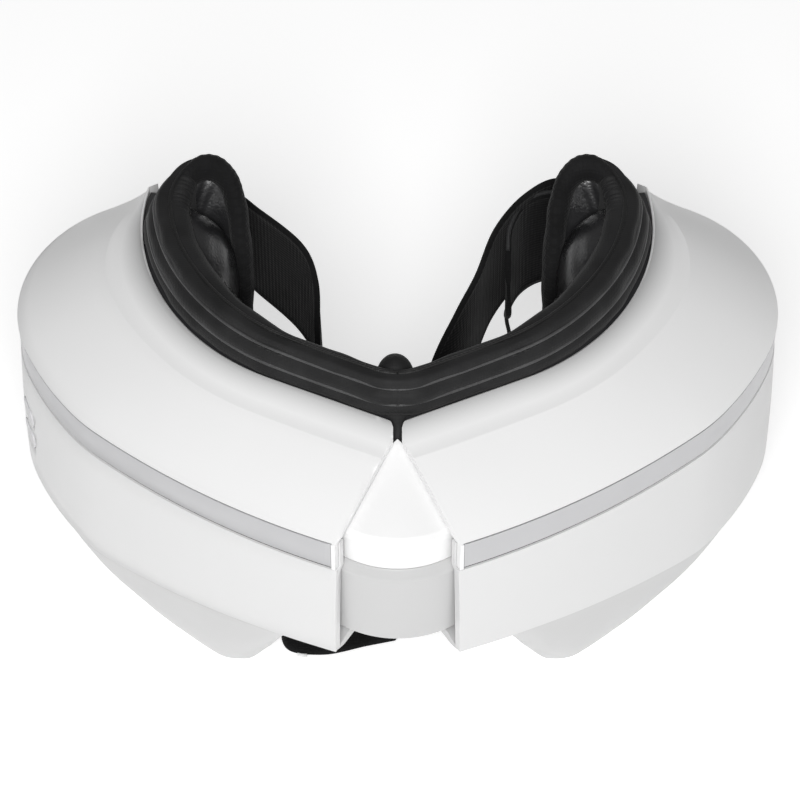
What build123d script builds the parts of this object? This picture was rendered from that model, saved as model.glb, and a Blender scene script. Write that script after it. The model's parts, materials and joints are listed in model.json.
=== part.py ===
from build123d import *
import os
from math import cos, hypot, pi, radians, sin

# Foldable eye massager mask, millimetres. +Z is up, +X is the wearer's left, -Y is the front.
# The mask is two halves that fold about one upright hinge pin behind the bridge.
# Each half is drawn for +X about the pin, then mirrored for the other side.
# Heights are given from the rim line, the top edge of the silver trim strip.

# ---- placement -----------------------------------------------------------------------------
PIN_Y = -34.55              # hinge pin's place, so that the box's centre lies on Y = 0
RIM_HEIGHT = 78.0           # rim line above the surface that the cheek lobes stand on

# ---- rim line in plan: gently curved front, a soft corner, then the side and temple arcs -----
RIM_START = (15.0, -24.3)
FRONT_HEADING, FRONT_RADIUS, FRONT_LENGTH = 21.0, 230.0, 75.0
CORNER_TURN = 10.3
SIDE_RADIUS, SIDE_TURN = 103.0, 16.0
TEMPLE_RADIUS, TEMPLE_TURN = 38.0, 104.0

# ---- collar lip in plan: a straight run beside the nose, then one arc round to the temple ----
LIP_START = (4.3, 3.6)
LIP_HEADING, LIP_STRAIGHT = 24.6, 30.0
LIP_RADIUS = 58.3

# ---- shell heights and thicknesses -----------------------------------------------------------
CREASE_Z, LIP_Z = 11.3, 15.7
WALL = 2.0
SEAM = 0.4
STRIP_HEIGHT, STRIP_DEPTH = 10.5, 1.5
WALL_DRAFT = 1.2            # how far the wall leans out at its lower edge

# Stations round a half: rim length, lip length, crease place between them (0 to 1),
# lower edge of the wall, underside of the cheek housing, and how far that is tucked in.
STATIONS = [
    (-12.0, -12.0, 0.70, -43.0, -45.0, 2.0),
    (0.0, 0.0, 0.70, -43.0, -45.0, 2.0),
    (13.0, 11.0, 0.70, -43.6, -46.5, 2.0),
    (22.0, 19.0, 0.70, -44.2, -60.0, 2.5),
    (30.0, 26.0, 0.70, -45.0, -72.0, 3.5),
    (40.0, 34.0, 0.70, -46.0, -79.5, 4.5),
    (57.0, 47.0, 0.70, -48.0, -79.5, 6.5),
    (75.0, 61.5, 0.71, -50.0, -79.5, 9.5),
    (90.0, 70.0, 0.70, -50.0, -79.5, 11.5),
    (104.0, 78.0, 0.69, -50.0, -79.5, 13.0),
    (120.0, 84.5, 0.69, -50.0, -76.0, 13.0),
    (133.0, 91.5, 0.70, -50.0, -70.0, 11.0),
    (146.4, 98.0, 0.73, -50.0, -62.0, 8.0),
    (159.7, 103.5, 0.77, -49.0, -55.0, 5.0),
    (169.6, 108.0, 0.72, -49.0, -52.0, 3.0),
]

# ---- hinge and bridge ------------------------------------------------------------------------
FRONT_CUT, BACK_CUT = 31.7, 26.0        # degrees from -Y and from +Y where a half ends
PIN_RADIUS, PIN_BORE = 1.5, 1.55
KNUCKLE_RADIUS = 4.2
BRIDGE_SPAN = 56.0                      # degrees each side of -Y that the bridge fills
CAP_RADIUS, BODY_RADIUS = 24.0, 25.9
CAP_SLOPE = 0.49
CAP_EDGE_Z, CAP_FOOT_Z, LEDGE_Z, BRIDGE_FOOT_Z = -0.4, -10.0, -13.0, -37.0

# ---- face side -------------------------------------------------------------------------------
FACE_GAP, FACE_PLATE = 0.3, 2.0
CUSHION_BACK, CUSHION_THICK = 2.8, 15.0
CUSHION_TOP = 28.7
# Recess in the cushion: lip length, lower edge, upper edge.
RECESS = [(15, -30, 10), (20, -41, 10), (27, -54, 10), (40, -57, 10), (55, -57, 10), (72, -56, 13),
          (84, -52, 17), (92, -46, 18), (97, -38, 14)]
# Temple airbag: lip length, how far it swells, lower edge, upper edge.
AIRBAG = [(50, 1.0, -46, 5), (58, 8.0, -49, 8), (68, 14.5, -50, 10), (77, 18.0, -48, 13), (85, 17.0, -44, 15),
          (91, 10.0, -40, 14), (95, 1.0, -30, 8)]
EYE_LIP_LENGTH, EYE_Z = 36.0, -20.0
EYE_HALF_WIDTH, EYE_HALF_HEIGHT = 19.0, 17.0

SOLIDS = {}
os.makedirs("parts", exist_ok=True)


def place(name, shape):
    """Keep one node's shape, moved from the pin's frame to the part's own frame."""
    SOLIDS[name] = Pos(0, PIN_Y, RIM_HEIGHT) * shape


def place_pair(name, shape):
    """Keep a shape drawn for +X and its mirror image."""
    place("left_" + name, mirror(shape, about=Plane.YZ))
    place("right_" + name, shape)


# ---- plan curves -----------------------------------------------------------------------------
def walk(start, heading, radius, length):
    """Point and heading after a length along an arc that turns to the left."""
    turn = length / radius
    chord = 2 * radius * sin(turn / 2)
    aim = radians(heading) + turn / 2
    point = (start[0] + chord * cos(aim), start[1] + chord * sin(aim))
    return point, heading + turn * 180 / pi


def rim(length):
    """Point and heading on the rim line; the corner itself takes the mean heading."""
    if length < FRONT_LENGTH:
        return walk(RIM_START, FRONT_HEADING, FRONT_RADIUS, length)
    corner, heading = walk(RIM_START, FRONT_HEADING, FRONT_RADIUS, FRONT_LENGTH)
    side_length = SIDE_RADIUS * radians(SIDE_TURN)
    past = length - FRONT_LENGTH
    if past == 0:
        return corner, heading + CORNER_TURN / 2
    if past <= side_length:
        return walk(corner, heading + CORNER_TURN, SIDE_RADIUS, past)
    end, heading = walk(corner, heading + CORNER_TURN, SIDE_RADIUS, side_length)
    return walk(end, heading, TEMPLE_RADIUS, past - side_length)


def lip(length):
    """Point and heading on the collar lip line."""
    run = min(length, LIP_STRAIGHT)
    aim = radians(LIP_HEADING)
    point = (LIP_START[0] + run * cos(aim), LIP_START[1] + run * sin(aim))
    if length <= LIP_STRAIGHT:
        return point, LIP_HEADING
    return walk(point, LIP_HEADING, LIP_RADIUS, length - LIP_STRAIGHT)


def upright(point, inward):
    """A plane whose X runs inward along a plan direction and whose Y is up."""
    size = hypot(*inward)
    x_dir = (inward[0] / size, inward[1] / size, 0)
    return Plane(origin=(point[0], point[1], 0), x_dir=x_dir, z_dir=(x_dir[1], -x_dir[0], 0))


def shell_plane(station):
    """Section plane from the rim to the lip, and the distance between them."""
    start, _ = rim(station[0])
    end, _ = lip(station[1])
    inward = (end[0] - start[0], end[1] - start[1])
    return upright(start, inward), hypot(*inward)


def face_plane(length):
    """Section plane square to the lip line, with X towards the head."""
    point, heading = lip(length)
    return upright(point, (-sin(radians(heading)), cos(radians(heading))))


# ---- section outlines (distance in from the rim, height) -------------------------------------
def top_cover_outline(width, station):
    crease = width * station[2]
    edge = width - 0.4
    cove = ThreePointArc((crease, CREASE_Z), ((crease + edge) / 2, CREASE_Z + 1.5), (edge, LIP_Z))
    rest = Polyline((edge, LIP_Z), (width, LIP_Z - 0.5), (width, 9.0), (width - 1.4, 9.0),
                    (width - 1.4, LIP_Z - 4.2), (crease, CREASE_Z - WALL - 0.3), (3.6, 0.2),
                    (0.1, 0.2), (crease, CREASE_Z))
    return make_face(cove.edges() + rest.edges())


def trim_outline(width, station):
    return make_face(Polyline((0.0, -SEAM), (0.0, -STRIP_HEIGHT), (STRIP_DEPTH, -STRIP_HEIGHT),
                              (STRIP_DEPTH, -SEAM), close=True))


def wall_outline(width, station):
    top, foot = -STRIP_HEIGHT - SEAM, station[3]
    back = STRIP_DEPTH + 0.2
    return make_face(Polyline((0.0, top), (-WALL_DRAFT, foot), (-WALL_DRAFT + WALL, foot), (WALL, top - 1.5),
                              (back + 1.4, top - 0.5), (back + 1.4, -1.2), (back, -1.2), (back, top),
                              close=True))


def housing_outline(width, station):
    top, foot, tuck = station[3] - SEAM, station[4], station[5]
    inner = width - 0.2
    drop = top - foot
    return make_face(Polyline((-WALL_DRAFT + 0.4, top), (tuck * 0.35, top - drop * 0.62), (tuck + 1.2, foot),
                              (inner - 2.5, foot), (inner, foot + 3.0), (inner, foot + 8.0),
                              (inner - WALL, foot + 8.0), (inner - WALL - 1.0, foot + 3.2),
                              (tuck + 2.6, foot + 3.2), (tuck * 0.35 + WALL, top - drop * 0.55),
                              (-WALL_DRAFT + 0.4 + WALL, top), close=True))


def sweep_half(outline):
    """Loft one section outline round a half, from past the bridge to the temple."""
    sections = []
    for station in STATIONS:
        plane, width = shell_plane(station)
        sections.append(plane * outline(width, station))
    return loft(sections)


def half_space():
    """Everything that belongs to one half: a wedge about the pin, with a hole for the knuckles."""
    reach = 220.0
    front = (reach * sin(radians(FRONT_CUT)), -reach * cos(radians(FRONT_CUT)))
    back = (reach * sin(radians(BACK_CUT)), reach * cos(radians(BACK_CUT)))
    plan = make_face(Polyline((0, 0), front, (reach, -reach), (reach, reach), back, close=True))
    wedge = extrude(Pos(0, 0, -RIM_HEIGHT) * plan, RIM_HEIGHT + 60)
    knuckle_room = Pos(0, 0, -35) * Cylinder(KNUCKLE_RADIUS + 1.0, 86)
    neck = Cylinder(2.0, 200)
    return wedge - knuckle_room - neck


HALF = half_space()

# ---- placing helpers -------------------------------------------------------------------------
def box_at(plane, low, high):
    """A box between two corners given in a section plane: (inward, up, along)."""
    size = [high[i] - low[i] for i in range(3)]
    centre = [(high[i] + low[i]) / 2 for i in range(3)]
    return plane * Pos(*centre) * Box(*size)


def rod_at(plane, radius, inward, up, along=0.0):
    """A round rod that runs inward from inward[0] to inward[1]."""
    middle = (inward[0] + inward[1]) / 2
    return plane * Pos(middle, up, along) * Rot(0, 90, 0) * Cylinder(radius, inward[1] - inward[0])


def sector(outline, span):
    """Turn an (radius, height) outline about the pin, span degrees each side of -Y."""
    face = Plane.XZ * make_face(Polyline(*outline, close=True))
    return revolve(Rot(0, 0, -90 - span) * face, Axis.Z, 2 * span)


# ---- face side sections ----------------------------------------------------------------------
def face_loft(rows):
    """Loft rectangles or polygons given as (lip length, [(towards head, height), ...])."""
    sections = [face_plane(length) * make_face(Polyline(*points, close=True)) for length, points in rows]
    return loft(sections)


def cushion_depth(length):
    """The cushion is thicker at the temple than beside the nose."""
    return CUSHION_THICK + 8.0 * max(0.0, length) / STATIONS[-1][1]


def face_frame():
    back, top = FACE_GAP + FACE_PLATE, LIP_Z - 1.6
    rows = []
    for station in STATIONS:
        foot = station[4] + 3.0
        rows.append((station[1], [(FACE_GAP, foot), (back, foot), (back, top), (FACE_GAP, top)]))
    return face_loft(rows)


def cushion():
    rows = []
    for station in STATIONS:
        foot, deep = station[4] + 3.4, cushion_depth(station[1])
        rows.append((station[1], [(CUSHION_BACK, foot), (CUSHION_BACK, LIP_Z), (1.4, LIP_Z + 0.6),
                                  (2.0, 20.7), (4.2, 25.7), (7.5, CUSHION_TOP), (deep - 5, CUSHION_TOP),
                                  (deep, 22.0), (deep, foot + 6), (deep - 5, foot)]))
    return face_loft(rows)


def recess():
    """The hollow that the cushion ring leaves in front of the eye and the temple."""
    back, past = CUSHION_BACK - 1, 40
    rows = []
    for length, foot, top in RECESS:
        rows.append((length, [(back, foot), (past, foot), (past, top), (back, top)]))
    return face_loft(rows)


def temple_airbag():
    """A leaf-shaped bag that fills the temple end of the recess, almost flush with the ring."""
    base = CUSHION_BACK - 0.2
    rows = []
    for length, swell, foot, top in AIRBAG:
        face = CUSHION_BACK + swell
        rows.append((length, [(base, foot), (face, foot + 8), (face, top - 8), (base, top)]))
    return face_loft(rows)


# ---- outer shells of each half ---------------------------------------------------------------
# The collar's corners are rounded off where the two halves meet behind the bridge.
NOSE_CORNER = [(0, -1), (1.1, -1), (1.1, 0.6), (1.4, 1.4), (2.0, 2.3), (3.0, 3.2), (3.0, 6), (0, 6)]
nose_corner = extrude(make_face(Polyline(*NOSE_CORNER, close=True)), LIP_Z + 5)
top_cover = (sweep_half(top_cover_outline) & HALF) - nose_corner
trim_strip = sweep_half(trim_outline) & HALF
front_shell = sweep_half(wall_outline) & HALF
cheek_housing = sweep_half(housing_outline) & HALF
frame_plate = face_frame() & HALF
soft_ring = (cushion() - recess()) & HALF

# Screw bosses run from the front shell's wall back to the face frame.
BOSS_RADIUS, SCREW_RADIUS, SCREW_HEAD = 3.0, 1.2, 2.4
screws = []
for index, height in [(5, -42.0), (8, -38.0)]:
    plane, width = shell_plane(STATIONS[index])
    boss = rod_at(plane, BOSS_RADIUS, (0.2, width - 0.3), height)
    front_shell = front_shell + boss - rod_at(plane, SCREW_RADIUS + 0.02, (width - 12, width + 1), height)
    frame_plate = frame_plate - rod_at(plane, SCREW_RADIUS + 0.1, (width - 2, width + 6), height)
    frame_plate = frame_plate - rod_at(plane, SCREW_HEAD + 0.4, (width + 1.2, width + 6), height)
    screws.append(rod_at(plane, SCREW_RADIUS, (width - 11, width + 1.4), height)
                  + rod_at(plane, SCREW_HEAD, (width + 1.3, width + 2.2), height))
    cheek_housing = cheek_housing - rod_at(plane, BOSS_RADIUS + 0.5, (-5, width + 5), height)

# ---- eye pad, with its heater and motor, in a hole in the face frame -------------------------
eye_point, eye_heading = lip(EYE_LIP_LENGTH)
eye_normal = (-sin(radians(eye_heading)), cos(radians(eye_heading)), 0)
eye_along = (cos(radians(eye_heading)), sin(radians(eye_heading)), 0)
EYE = Plane(origin=(eye_point[0], eye_point[1], EYE_Z), x_dir=eye_along, z_dir=eye_normal)


def eye_disc(grow, start, end):
    """An oval disc in the eye's plane, from start to end towards the head."""
    oval = Ellipse(EYE_HALF_WIDTH + grow, EYE_HALF_HEIGHT + grow)
    return EYE * Pos(0, 0, start) * extrude(oval, end - start)


frame_plate = frame_plate - eye_disc(0.4, -6, 6)
eye_pad = eye_disc(0, -1.2, 3.2)
NUB_RADIUS, NUB_RING = 2.6, 10.0
eye_pad = eye_pad + EYE * Pos(0, 0, 3.2) * Sphere(NUB_RADIUS)
for step in range(8):
    turn = radians(45 * step)
    eye_pad = eye_pad + EYE * Pos(NUB_RING * cos(turn), 0.85 * NUB_RING * sin(turn), 3.2) * Sphere(NUB_RADIUS)
heater_film = eye_disc(-2.0, -1.7, -1.3)
motor = EYE * Pos(0, 0, -7) * Rot(0, 90, 0) * Cylinder(5.0, 20)
motor = motor + EYE * Pos(12.0, 0, -7) * Rot(0, 90, 0) * Cylinder(1.0, 6)
motor_weight = EYE * Pos(13.5, 1.5, -7) * Rot(0, 90, 0) * Cylinder(3.4, 4)
motor_weight = motor_weight - EYE * Pos(13.5, 0, -7) * Rot(0, 90, 0) * Cylinder(1.05, 10)

# ---- temple end: end cap with the strap's slot ------------------------------------------------
last_plane, last_width = shell_plane(STATIONS[-1])
cap_outline = make_face(Polyline((0.1, 0.2), (last_width * STATIONS[-1][2], CREASE_Z),
                                 (last_width - 0.4, LIP_Z), (last_width, 12), (last_width, -51.0),
                                 (2.6, -52.0), (-WALL_DRAFT, -49.0), (0.0, -12.0), close=True))
END_CAP_GAP, END_CAP = 0.2, 2.5
end_cap = last_plane * Pos(0, 0, END_CAP_GAP) * extrude(cap_outline, END_CAP)
STRAP_WIDTH, STRAP_THICK, STRAP_Z = 34.0, 2.0, -24.0
slot_in = last_width / 2
slot = box_at(last_plane, (slot_in - 1.7, STRAP_Z - 18, -1), (slot_in + 1.7, STRAP_Z + 18, 6))
end_cap = end_cap - slot
strap_clamp = box_at(last_plane, (slot_in - 2.3, STRAP_Z - 16, -3.4), (slot_in + 2.6, STRAP_Z + 16, -1.4))

# ---- hinge: one bracket in each half, a bracket in the bridge, and the pin -------------------
ARM_REACH, ARM_THICK = 19.0, 2.0


def hinge_bracket(low, high):
    """A knuckle and its arm, which lies in front of the face frame beside the nose."""
    middle, tall = (low + high) / 2, high - low
    knuckle = Pos(0, 0, middle) * Cylinder(KNUCKLE_RADIUS, tall)
    arm = Rot(0, 0, LIP_HEADING) * Pos(ARM_REACH / 2, -0.15, middle) * Box(ARM_REACH, ARM_THICK, tall)
    return knuckle + arm - Pos(0, 0, middle) * Cylinder(PIN_BORE, tall + 2)


RIGHT_KNUCKLE, LEFT_KNUCKLE = (-14.9, -1.8), (-29.9, -15.3)
right_bracket = hinge_bracket(*RIGHT_KNUCKLE)
left_bracket = hinge_bracket(*LEFT_KNUCKLE)

FOOT_ARM, HEAD_ARM = (-33.5, -30.2), (-1.5, 1.6)
post = Pos(0, -10.2, (FOOT_ARM[0] + HEAD_ARM[1]) / 2) * Box(9, 2, HEAD_ARM[1] - FOOT_ARM[0])
foot = Pos(0, -9.5, -31.85) * Box(8.4, 19, 3.3) + Pos(0, 0, -31.85) * Cylinder(KNUCKLE_RADIUS, 3.3)
head = Pos(0, -5.2, 0.05) * Box(8.4, 11, 3.1) + Pos(0, 0, 0.05) * Cylinder(KNUCKLE_RADIUS, 3.1)
bridge_bracket = post + foot + head - Pos(0, 0, -15) * Cylinder(PIN_BORE, 60)
hinge_pin = Pos(0, 0, -16.0) * Cylinder(PIN_RADIUS, 36.6) + Pos(0, 0, 2.6) * Cylinder(2.6, 1.4)
hinge_pin = hinge_pin + Pos(0, 0, -34.4) * Cylinder(2.4, 1.2)

cap_inside, cap_roof = CAP_RADIUS - WALL, CAP_EDGE_Z - 1.6
bridge_cap = sector([(0, CAP_EDGE_Z + CAP_SLOPE * CAP_RADIUS), (CAP_RADIUS, CAP_EDGE_Z),
                     (CAP_RADIUS, CAP_FOOT_Z), (cap_inside, CAP_FOOT_Z), (cap_inside, cap_roof),
                     (0, cap_roof + CAP_SLOPE * cap_inside)], BRIDGE_SPAN)
bridge_body = sector([(0, BRIDGE_FOOT_Z), (BODY_RADIUS, BRIDGE_FOOT_Z), (BODY_RADIUS, LEDGE_Z),
                      (CAP_RADIUS + 0.1, CAP_FOOT_Z - 0.2), (CAP_RADIUS - 3, CAP_FOOT_Z - 0.2),
                      (CAP_RADIUS - 3, LEDGE_Z + 0.4), (BODY_RADIUS - WALL, LEDGE_Z - 0.9),
                      (BODY_RADIUS - WALL, BRIDGE_FOOT_Z + 1.5), (0, BRIDGE_FOOT_Z + 1.5)], BRIDGE_SPAN)
bridge_screws = []
for side in (-1, 1):
    spot = Pos(side * 2.9, -16.0, 0)
    bridge_body = bridge_body + spot * Pos(0, 0, -34.6) * Cylinder(2.1, 2.0)
    bridge_body = bridge_body - spot * Pos(0, 0, -34.5) * Cylinder(1.02, 2.9)
    bridge_bracket = bridge_bracket - spot * Pos(0, 0, -32) * Cylinder(1.1, 8)
    screw_head = Pos(0, 0, -29.45) * Cylinder(1.9, 1.3)
    bridge_screws.append(spot * (Pos(0, 0, -32.4) * Cylinder(1.0, 5.0) + screw_head))

# The halves' cable and air hose cross the hinge inside the bridge.
CROSSING_SPAN = 48.0        # degrees each side of -Y that they fill
flex_cable = sector([(15.6, -27.5), (16.0, -27.5), (16.0, -19.5), (15.6, -19.5)], CROSSING_SPAN)
HOSE_Z, HOSE_BEND, HOSE_RADIUS, HOSE_BORE = -15.5, 18.6, 1.5, 0.8
hose_face = Plane.XZ * Pos(HOSE_BEND, HOSE_Z) * (Circle(HOSE_RADIUS) - Circle(HOSE_BORE))
air_hose = revolve(Rot(0, 0, -90 - CROSSING_SPAN) * hose_face, Axis.Z, 2 * CROSSING_SPAN)

# ---- control gear ----------------------------------------------------------------------------
board_plane, _ = shell_plane((50.0, 42.0))
control_board = box_at(board_plane, (5.0, -33, -17), (6.6, -3, 17))
BOARD_PARTS = [((6.6, -20, -6), (8.0, -10, 4)), ((6.6, -30, 6), (8.4, -24, 13)),
               ((6.6, -12, 8), (9.0, -6, 12))]
for low, high in BOARD_PARTS:
    control_board = control_board + box_at(board_plane, low, high)
battery = fillet(box_at(board_plane, (6.0, -34, -19), (15.0, -4, 19)).edges(), 1.5)

pump_plane, _ = shell_plane((88.0, 69.0))
air_pump = box_at(pump_plane, (6.0, -34, -2), (22.0, -12, 12))
air_pump = air_pump + pump_plane * Pos(14, -23, -9) * Cylinder(8.5, 14)
air_pump = air_pump + pump_plane * Pos(14, -17, 14.5) * Cylinder(1.6, 5)
valve_plane, _ = shell_plane((119.0, 84.0))
air_valve = box_at(valve_plane, (12, -30, -6), (22, -18, 6))
air_valve = air_valve + valve_plane * Pos(17, -16, 0) * Rot(90, 0, 0) * Cylinder(1.5, 5)

speaker_plane, _ = shell_plane((138.0, 94.0))
speaker = rod_at(speaker_plane, 9.0, (6.4, 9.4), -24.0) + rod_at(speaker_plane, 6.0, (9.3, 12.9), -24.0)

# ---- buttons, their board, the charging socket and the status light on one side wall ---------
KEY_STATION = (107.0, 79.0)
KEY_TALL, KEY_LONG, KEY_TRAVEL, KEY_GAP = 6.0, 9.0, 0.8, 0.25
POWER_Z, MODE_Z, LIGHT_Z, SOCKET_Z = -27.0, -35.5, -43.0, -38.0
POWER_FACE, MODE_FACE = -0.9, -1.15     # how far in from the rim line each key's face lies
key_plane, _ = shell_plane(KEY_STATION)


def pill(tall, long, low, high, up):
    """A rounded bar: straight along the wall with round ends."""
    return key_plane * Pos(low, up, 0) * Rot(0, 90, 0) * extrude(SlotOverall(long, tall), high - low)


def key(up, face):
    """A key that stands 0.4 mm proud of the wall, with a flange behind it."""
    return pill(KEY_TALL, KEY_LONG, face, 3.2, up) + pill(KEY_TALL + 2, KEY_LONG + 2, 2.5, 3.3, up)


left_shell = front_shell - rod_at(key_plane, 1.3, (-6, 4), LIGHT_Z)
for height in (POWER_Z, MODE_Z):
    left_shell = left_shell - pill(KEY_TALL + 2 * KEY_GAP, KEY_LONG + 2 * KEY_GAP, -6, 2.45, height)
power_button = key(POWER_Z, POWER_FACE)
mode_button = key(MODE_Z, MODE_FACE)
status_light = rod_at(key_plane, 1.1, (-0.8, 5.2), LIGHT_Z)
switch_board = box_at(key_plane, (5.6, -46, -6), (7.0, -21, 6))
for height in (POWER_Z, MODE_Z):
    switch_board = switch_board + box_at(key_plane, (4.8, height - 2.5, -2.5), (5.7, height + 2.5, 2.5))
    switch_board = switch_board + rod_at(key_plane, 1.2, (4.3, 4.9), height)

socket_plane, _ = shell_plane((128.0, 89.0))
SOCKET_LONG, SOCKET_TALL, SOCKET_WALL = 9.0, 3.3, 0.35


def socket_block(grow, low, high):
    long, tall = SOCKET_LONG / 2 + grow, SOCKET_TALL / 2 + grow
    return box_at(socket_plane, (low, SOCKET_Z - tall, -long), (high, SOCKET_Z + tall, long))


charge_socket = socket_block(0, 0.4, 8.0) - socket_block(-SOCKET_WALL, -1, 6.5)
tongue = box_at(socket_plane, (1.4, SOCKET_Z - 0.35, -3.2), (7.0, SOCKET_Z + 0.35, 3.2))
charge_socket = charge_socket + tongue
left_shell = left_shell - socket_block(0.2, -6, 8)

# ---- strap: an elastic band from each temple, folded away inside the mask ---------------------
def band(stations):
    """A flat band: each station is its lower edge, its upper edge and the way it runs."""
    sections = []
    for low, high, run in stations:
        middle = tuple((low[i] + high[i]) / 2 for i in range(3))
        across = tuple(high[i] - low[i] for i in range(3))
        wide = (across[0] ** 2 + across[1] ** 2 + across[2] ** 2) ** 0.5
        sections.append(Plane(origin=middle, x_dir=across, z_dir=run) * Rectangle(wide, STRAP_THICK))
    return loft(sections, ruled=True)


STRAP_ROUTE = [
    ((64.9, 92.9, -41), (64.9, 92.9, -7), (-0.97, 0.26, 0)),
    ((56.0, 94.0, -38), (56.0, 94.0, -4), (-1, 0, 0)),
    ((44.0, 93.4, -30), (44.0, 92.9, 4), (-1, -0.25, 0)),
    ((34.0, 88.0, -30), (34.0, 88.0, 4), (-0.78, -0.62, 0)),
    ((25.0, 77.5, -34), (26.0, 79.0, 0), (-0.55, -0.83, 0)),
    ((20.0, 64.0, -42), (21.0, 67.0, -8), (-0.25, -0.93, -0.25)),
    ((19.0, 48.0, -56), (19.0, 58.0, -24), (-0.1, -0.87, -0.48)),
    ((18.0, 28.0, -71), (17.0, 48.0, -44), (-0.3, -0.76, -0.58)),
    ((10.0, 10.0, -76.5), (11.0, 38.0, -58), (-0.85, -0.5, -0.15)),
    ((0.0, 3.0, -76.9), (0.0, 36.0, -70), (-1, 0, 0)),
]
strap = band(STRAP_ROUTE)

# ---- nodes -----------------------------------------------------------------------------------
place("bridge_cap", bridge_cap)
place("bridge_body", bridge_body)
place("bridge_bracket", bridge_bracket)
place("bridge_screws", Compound(bridge_screws))
place("hinge_pin", hinge_pin)
place("flex_cable", flex_cable)
place("air_hose", air_hose)
place_pair("top_cover", top_cover)
place_pair("trim_strip", trim_strip)
place("right_front_shell", front_shell)
place("left_front_shell", mirror(left_shell, about=Plane.YZ))
place_pair("cheek_housing", cheek_housing)
place_pair("end_cap", end_cap)
place_pair("face_frame", frame_plate)
place_pair("case_screws", Compound(screws))
place("right_hinge_bracket", right_bracket)
place("left_hinge_bracket", mirror(left_bracket, about=Plane.YZ))
place_pair("face_cushion", soft_ring)
place_pair("temple_airbag", temple_airbag())
place_pair("eye_pad", eye_pad)
place_pair("heater_film", heater_film)
place_pair("motor", motor)
place_pair("motor_weight", motor_weight)
place_pair("speaker", speaker)
place_pair("strap_clamp", strap_clamp)
place_pair("strap", strap)
place("right_control_board", control_board)
place("right_air_pump", air_pump)
place("right_air_valve", air_valve)
for name, shape in [("battery", battery), ("power_button", power_button), ("mode_button", mode_button),
                    ("status_light", status_light), ("switch_board", switch_board),
                    ("charge_socket", charge_socket)]:
    place("left_" + name, mirror(shape, about=Plane.YZ))

for name, solid in SOLIDS.items():
    export_step(solid, "parts/" + name + ".step")
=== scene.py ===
import bmesh
import bpy
import json
import numpy as np
from contextlib import contextmanager
from math import cos, hypot, pi, radians, sin, tan
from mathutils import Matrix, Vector, noise
from mathutils.kdtree import KDTree

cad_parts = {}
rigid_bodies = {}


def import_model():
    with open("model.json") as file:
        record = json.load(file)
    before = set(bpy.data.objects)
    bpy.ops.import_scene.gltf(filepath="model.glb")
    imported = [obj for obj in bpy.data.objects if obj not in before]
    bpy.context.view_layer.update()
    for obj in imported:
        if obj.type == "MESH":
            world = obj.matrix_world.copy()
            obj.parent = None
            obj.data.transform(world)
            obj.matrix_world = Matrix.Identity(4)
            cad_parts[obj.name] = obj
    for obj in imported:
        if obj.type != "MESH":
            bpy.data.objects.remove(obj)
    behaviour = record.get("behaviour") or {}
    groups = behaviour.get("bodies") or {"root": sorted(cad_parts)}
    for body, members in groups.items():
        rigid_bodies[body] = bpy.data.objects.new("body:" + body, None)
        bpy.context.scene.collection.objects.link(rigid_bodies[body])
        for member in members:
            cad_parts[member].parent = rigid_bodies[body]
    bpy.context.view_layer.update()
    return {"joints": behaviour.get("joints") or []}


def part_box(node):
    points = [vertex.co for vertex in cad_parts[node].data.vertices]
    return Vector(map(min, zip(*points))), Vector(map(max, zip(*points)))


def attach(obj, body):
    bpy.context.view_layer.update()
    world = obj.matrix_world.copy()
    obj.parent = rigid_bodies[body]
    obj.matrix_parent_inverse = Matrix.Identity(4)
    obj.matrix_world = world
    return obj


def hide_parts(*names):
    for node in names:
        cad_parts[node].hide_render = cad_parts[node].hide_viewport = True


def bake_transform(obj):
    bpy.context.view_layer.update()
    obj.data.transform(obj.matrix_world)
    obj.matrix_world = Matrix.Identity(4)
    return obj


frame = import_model()

# The mask is drawn in millimetres about the hinge pin, with heights from the rim line, for the
# half on +X. Each piece is mirrored for the other half and moved to the frame's own place.
MM = 0.001
PIN = Vector(frame["joints"][0]["pos_m"])
SEAM = 0.6  # the seam between the cover's rim and the silver strip, darkened by a strip of painted shade set in it
STRIP_DROP = 0.4  # how far below the rim line the CAD strip's top is
RIM_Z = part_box("left_trim_strip")[1].z + STRIP_DROP * MM

# ---- plan curves: the CAD model's, with its corner rounded over CORNER_LENGTH
RIM_START = (15.0, -24.3)
FRONT_HEADING, FRONT_RADIUS, FRONT_LENGTH = 21.0, 230.0, 75.0
CORNER_TURN, CORNER_LENGTH = 10.3, 9.0
SIDE_RADIUS, SIDE_TURN = 103.0, 16.0
TEMPLE_RADIUS = 38.0
LIP_START = (4.3, 3.6)
LIP_HEADING, LIP_STRAIGHT, LIP_RADIUS = 24.6, 30.0, 58.3
CREASE_Z, LIP_Z = 11.3, 15.7
WALL = 2.0
STRIP_HEIGHT = 10.5
WALL_DRAFT = 1.2
FRONT_CUT = 31.7  # degrees from the x axis to the normal of the plane that ends a half

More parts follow.
